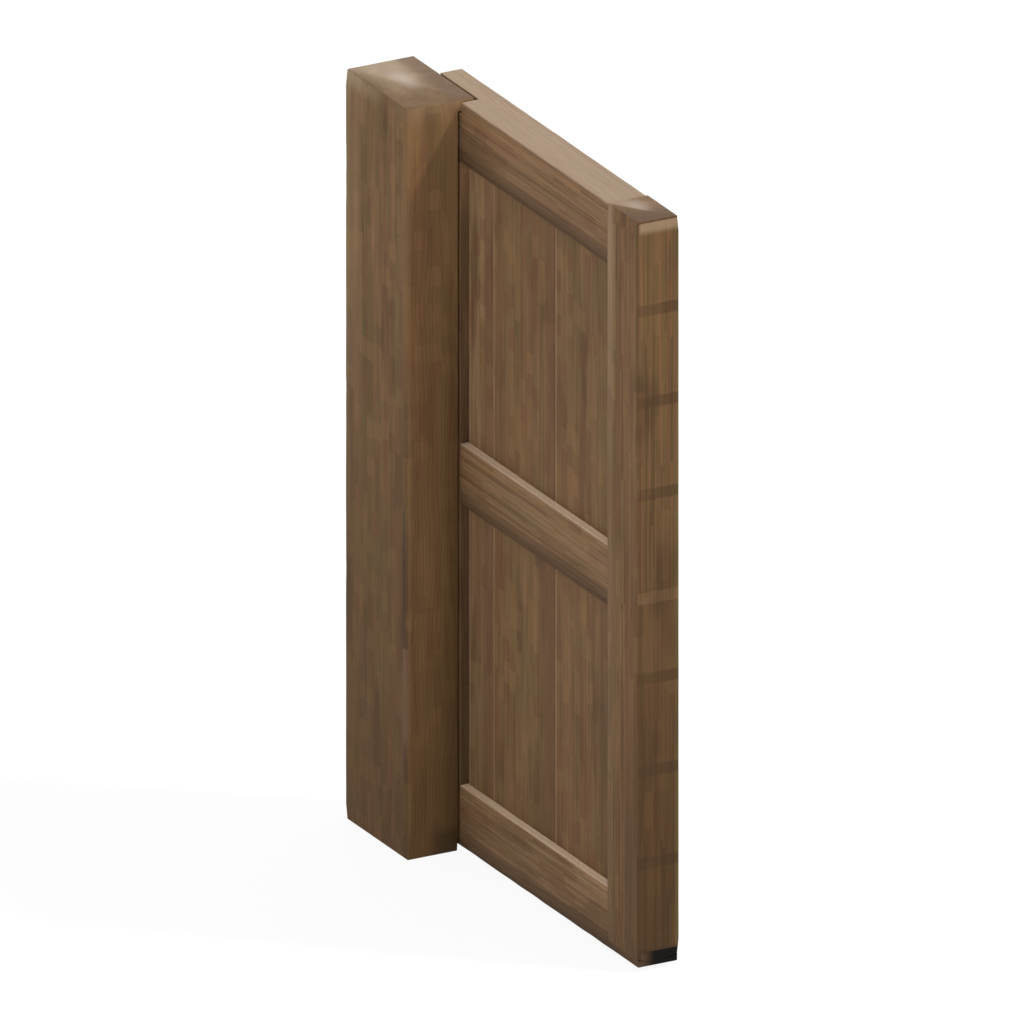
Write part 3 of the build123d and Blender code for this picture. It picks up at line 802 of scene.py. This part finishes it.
# Each peg's place along the leaf, its height, and the face that it stands out of.
closing_back_y = closing_high[1]
pegs_by_rail = {
    "top_rail_pegs": [(13, 1682, rail_back_y), (102, 1682, rail_back_y),
                      (886, 1696, closing_back_y), (886, 1753, closing_back_y)],
    "middle_rail_pegs": [(106, 876, rail_back_y), (106, 933, rail_back_y),
                         (886, 876, closing_back_y), (886, 933, closing_back_y)],
    "bottom_rail_pegs": [(106, 76, rail_back_y), (106, 113, rail_back_y),
                         (886, 76, closing_back_y), (886, 113, closing_back_y)],
}
for order, (node, places) in enumerate(pegs_by_rail.items()):
    shapes = [peg(x, z, back, 500 + order * 10 + i) for i, (x, z, back) in enumerate(places)]
    peg_piece = skin(f"{node}_ends", shapes, 1, 30)
    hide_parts(node)
    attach(peg_piece, "leaf")
    peg_finish = Finish(f"{node}_oak")
    where = peg_finish.node("ShaderNodeTexCoord", output="Object")
    x, y, z = [value / MM for value in peg_finish.axes(where)]
    grain = peg_finish.noise(peg_finish.point(x / 1.6, y / 6, z / 1.6), 3.0)
    tone = peg_finish.blend(grain.step(0.35, 0.65), paint(140, 108, 74), paint(84, 62, 42))
    peg_finish.dress(peg_piece, tone, 0.7 + grain * 0.2, grain, 0.8, Specular_IOR_Level=0.3)


# Hinges
# Two black iron bands lie along the rails' backs, rolled at the post end into an eye. Each turns
# on the pin of a forged hook, whose plate is screwed to the post. The hooks keep their solids'
# shapes, with worn edges. The paint is worn and rusty.
def iron_finish(piece, name, seed):
    """Black paint over forged iron: hammer dents, chalky wear, and rust in spots and low places."""
    finish = Finish(name)
    where = finish.node("ShaderNodeTexCoord", output="Object")
    x, y, z = [value / MM for value in finish.axes(where)]
    dent = finish.noise(finish.point(x / 14 + seed, y / 14, z / 14), 2.0)
    grit = finish.noise(finish.point(x / 2.2, y / 2.2 + seed, z / 2.2), 4.0, 0.65)
    spread = finish.noise(finish.point(x / 26, y / 26, z / 26 + seed), 4.0, 0.6)
    rust = (spread * 0.7 + grit * 0.3).step(0.54, 0.66)
    black = finish.blend(grit.step(0.4, 0.7) * 0.5, paint(30, 29, 29), paint(58, 55, 52))
    red = finish.blend(grit.step(0.35, 0.65), paint(92, 52, 30), paint(134, 78, 42))
    finish.dress(piece, finish.blend(rust * 0.85, black, red), 0.42 + rust * 0.4 + grit * 0.1,
                 dent + grit * 0.25 + rust * 0.3, 1.0, Specular_IOR_Level=0.5)


plate_thick = 8.0


def band(middle_z, tip_x, pin_x, pin_y):
    """The strap: a rounded flat section carried along a straight run and round the eye. Along the
    run its width falls from the eye to the round tip, whose edge is a circle."""
    mean_radius, eye_degrees, eye_width, tip_width = 13.8, 318, 50.0, 30.0
    taper_start_x, round_start_x = pin_x + 18.0, tip_x - tip_width / 2
    run = np.concatenate([np.linspace(tip_x, round_start_x, 9)[1:],
                          np.linspace(round_start_x, pin_x, 24)[1:]])
    tip_share = np.clip((tip_x - run) / (tip_x - round_start_x), 0, 1)
    taper = np.clip((run - taper_start_x) / (round_start_x - taper_start_x), 0, 1)
    half = (eye_width + (tip_width - eye_width) * taper) / 2
    half = half * np.sqrt(1 - (1 - tip_share) ** 2)
    centre = np.stack([run, np.full(len(run), rail_back_y + plate_thick / 2)], axis=-1)
    side = np.tile([0.0, 1.0], (len(run), 1))
    turn = np.linspace(0, math.radians(eye_degrees), 40)[1:]
    eye = np.stack([pin_x - mean_radius * np.sin(turn), pin_y - mean_radius * np.cos(turn)], axis=-1)
    eye_side = np.stack([np.sin(turn), np.cos(turn)], axis=-1)
    centre = np.concatenate([centre, eye])
    side = np.concatenate([side, eye_side])
    half = np.concatenate([half, np.full(len(turn), eye_width / 2)])
    thick = np.full(len(half), plate_thick / 2)
    corners = np.stack([np.stack(corner, axis=-1) for corner in (
        (-thick, -half), (thick, -half), (thick, half), (-thick, half))], axis=1)
    radii = np.full(corners.shape[:2], 1.2)
    columns = [np.array([0.25, 0.75]), np.linspace(0.06, 0.94, 5)] * 2
    rings = rounded_rings(corners, radii, columns, 2)
    points = np.empty(rings.shape[:2] + (3,))
    points[..., 0] = centre[:, None, 0] + side[:, None, 0] * rings[..., 0]
    points[..., 1] = centre[:, None, 1] + side[:, None, 1] * rings[..., 0]
    points[..., 2] = middle_z + rings[..., 1]
    first = np.broadcast_to([tip_x, rail_back_y + plate_thick / 2, middle_z], (1,) + points.shape[1:])
    last = np.broadcast_to(points[-1].mean(axis=0), (1,) + points.shape[1:])
    return np.concatenate([first, points, last])


def screw_head(x, y, z, seed, width=15.0, height=6.5):
    """A forged square head on a washer, along +Y: a rounded square that narrows to a low dome."""
    around = np.linspace(0, 2 * np.pi, 32, endpoint=False)
    turn = around + 0.3 * seed
    square = 1 / np.maximum(np.abs(np.cos(around)), np.abs(np.sin(around)))
    square = np.minimum(square, 1.28) * width / 2
    washer_radius = 12.5
    washer = [(0.0, 0.0), (washer_radius, 0.0), (washer_radius, 1.6), (washer_radius - 0.8, 2.2)]
    head = [(1.0, 2.2), (1.0, height), (0.9, height + 1.1), (0.55, height + 1.9), (0.0, height + 2.2)]
    outlines = [np.ones(len(turn))] * len(washer) + [square] * len(head)
    rows = []
    for outline, (radius, lift) in zip(outlines, washer + head):
        reach = outline * radius
        away = np.full(len(turn), y + lift)
        rows.append(np.column_stack([z + reach * np.cos(turn), x + reach * np.sin(turn), away]))
    return np.array(rows)


post_back_y = post_high[1]
eye_radius = 17.8
screws_from_pin = 70.0, 180.0, 300.0, 420.0
for level in ("lower", "upper"):
    low, high = box_mm(f"{level}_hinge_band")
    is_upper = level == "upper"
    pin_x, pin_y = low[0] + eye_radius, high[1] - eye_radius
    middle_z = (low[2] + high[2]) / 2
    band_piece = skin(f"{level}_band_strap", [band(middle_z, high[0], pin_x, pin_y)], 2, 35)
    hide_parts(f"{level}_hinge_band")
    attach(band_piece, "leaf")
    iron_finish(band_piece, f"{level}_band_paint", 3.0 + is_upper)
    heads = [screw_head(pin_x + reach, rail_back_y + plate_thick, middle_z, i)
             for i, reach in enumerate(screws_from_pin)]
    heads_piece = skin(f"{level}_band_screws", heads, 1, 30)
    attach(heads_piece, "leaf")
    iron_finish(heads_piece, f"{level}_screw_paint", 7.0 + is_upper)
    merged = bmesh.new()
    merged.from_mesh(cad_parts[f"{level}_hinge_hook"].data)
    bmesh.ops.remove_doubles(merged, verts=merged.verts, dist=0.02 * MM)
    hook = placed(f"{level}_hook_forging", merged, 38)
    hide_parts(f"{level}_hinge_hook")
    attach(hook, "post")
    worn_edge = hook.modifiers.new("wear_and_sheen", "BEVEL")
    worn_edge.width = 0.9 * MM
    worn_edge.segments = 2
    worn_edge.limit_method = "ANGLE"
    worn_edge.angle_limit = math.radians(40)
    worn_edge.harden_normals = True
    iron_finish(hook, f"{level}_hook_paint", 11.0 + is_upper)
    hook_low = box_mm(f"{level}_hinge_hook")[0]
    plate_left, plate_middle_z = hook_low[0], hook_low[2] + 50.0
    plate_heads = [screw_head(plate_left + 17.0 + 29.0 * i, post_back_y + plate_thick,
                              plate_middle_z + side * 34.0, i + 2, 13.0, 5.5)
                   for i in (0, 1) for side in (-1, 1)]
    plate_piece = skin(f"{level}_plate_screws", plate_heads, 1, 30)
    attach(plate_piece, "post")
    iron_finish(plate_piece, f"{level}_plate_screw_paint", 15.0 + is_upper)


# Floor, light and camera
# A pale floor that shows white and keeps the gate's shadow, a soft grey sky, a sun from behind and
# above on the open side, and two wide lamps, one towards the front and one on the far back edges.
reach, floor_z = 14.0, -0.4 * MM
floor_mesh = bpy.data.meshes.new("floor")
floor_mesh.from_pydata([(-reach, -reach, floor_z), (reach, -reach, floor_z), (reach, reach, floor_z),
                        (-reach, reach, floor_z)], [], [(0, 1, 2, 3)])
floor = bpy.data.objects.new("floor", floor_mesh)
bpy.context.scene.collection.objects.link(floor)
floor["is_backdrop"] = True


def backdrop_rays(nodes):
    """1 for the rays that show the backdrop, straight, in metal or through glass, and else 0."""
    camera, glossy, passing = [nodes.node("ShaderNodeLightPath", output=f"Is {kind} Ray")
                               for kind in ("Camera", "Glossy", "Transmission")]
    return camera + glossy + passing


floor_finish = Finish("pale_floor")
floor_finish.dress(floor, (0.8, 0.8, 0.8, 1.0), 0.9)
seen = backdrop_rays(floor_finish)
glow = floor_finish.node("ShaderNodeEmission", None, {"Color": (1.0, 1.0, 1.0, 1.0), "Strength": 1.0})
matt = floor_finish.node("ShaderNodeBsdfDiffuse", None, {"Color": (1.0, 1.0, 1.0, 1.0)})
shown = floor_finish.node("ShaderNodeMixShader", None, {0: 0.92, 1: matt, 2: glow})
plain = Field(floor_finish, floor_finish.shader.outputs[0])
whole_floor = floor_finish.node("ShaderNodeMixShader", None, {0: seen, 1: plain, 2: shown})
floor_finish.put(floor_finish.tree.nodes["Material Output"].inputs["Surface"], whole_floor)

world = bpy.data.worlds.new("studio")
world.use_nodes = True
bpy.context.scene.world = world
sky = Nodes(world.node_tree)
grey = sky.node("ShaderNodeBackground", None, {"Color": (0.72, 0.72, 0.72, 1.0)})
white = sky.node("ShaderNodeBackground", None, {"Color": (1.0, 1.0, 1.0, 1.0)})
whole_sky = sky.node("ShaderNodeMixShader", None, {0: backdrop_rays(sky), 1: grey, 2: white})
sky.put(sky.tree.nodes["World Output"].inputs["Surface"], whole_sky)

aim = Vector((0.2971, 0.0977, 0.8563))
lamp_distance, camera_distance = 5.0, 6.0


def lamp(name, kind, way, **settings):
    """A lamp that shines from way towards the middle of the view."""
    data = bpy.data.lights.new(name, kind)
    for setting, value in settings.items():
        setattr(data, setting, value)
    made = bpy.data.objects.new(name, data)
    way = Vector(way).normalized()
    made.location = aim + way * lamp_distance
    made.rotation_euler = way.to_track_quat("Z", "Y").to_euler()
    bpy.context.scene.collection.objects.link(made)


lamp("key", "SUN", (0.42, 0.5, 0.82), energy=2.1, angle=math.radians(5))
lamp("fill", "AREA", (0.85, -0.5, 0.25), energy=50.0, size=3.0)
lamp("rim", "AREA", (-0.82, 0.44, 0.37), energy=45.0, size=1.6)

azimuth, elevation = math.radians(61.87), math.radians(21.64)
camera_data = bpy.data.cameras.new("camera")
camera_data.type = "ORTHO"
camera_data.ortho_scale = 2.2848
camera = bpy.data.objects.new("camera", camera_data)
away = Vector((math.sin(azimuth) * math.cos(elevation), -math.cos(azimuth) * math.cos(elevation),
               math.sin(elevation)))
camera.location = aim + away * camera_distance
camera.rotation_euler = Euler((math.pi / 2 - elevation, 0.0, azimuth), "XYZ")
bpy.context.scene.collection.objects.link(camera)
bpy.context.scene.camera = camera
bpy.context.scene.view_settings.view_transform = "Standard"

low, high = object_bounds()
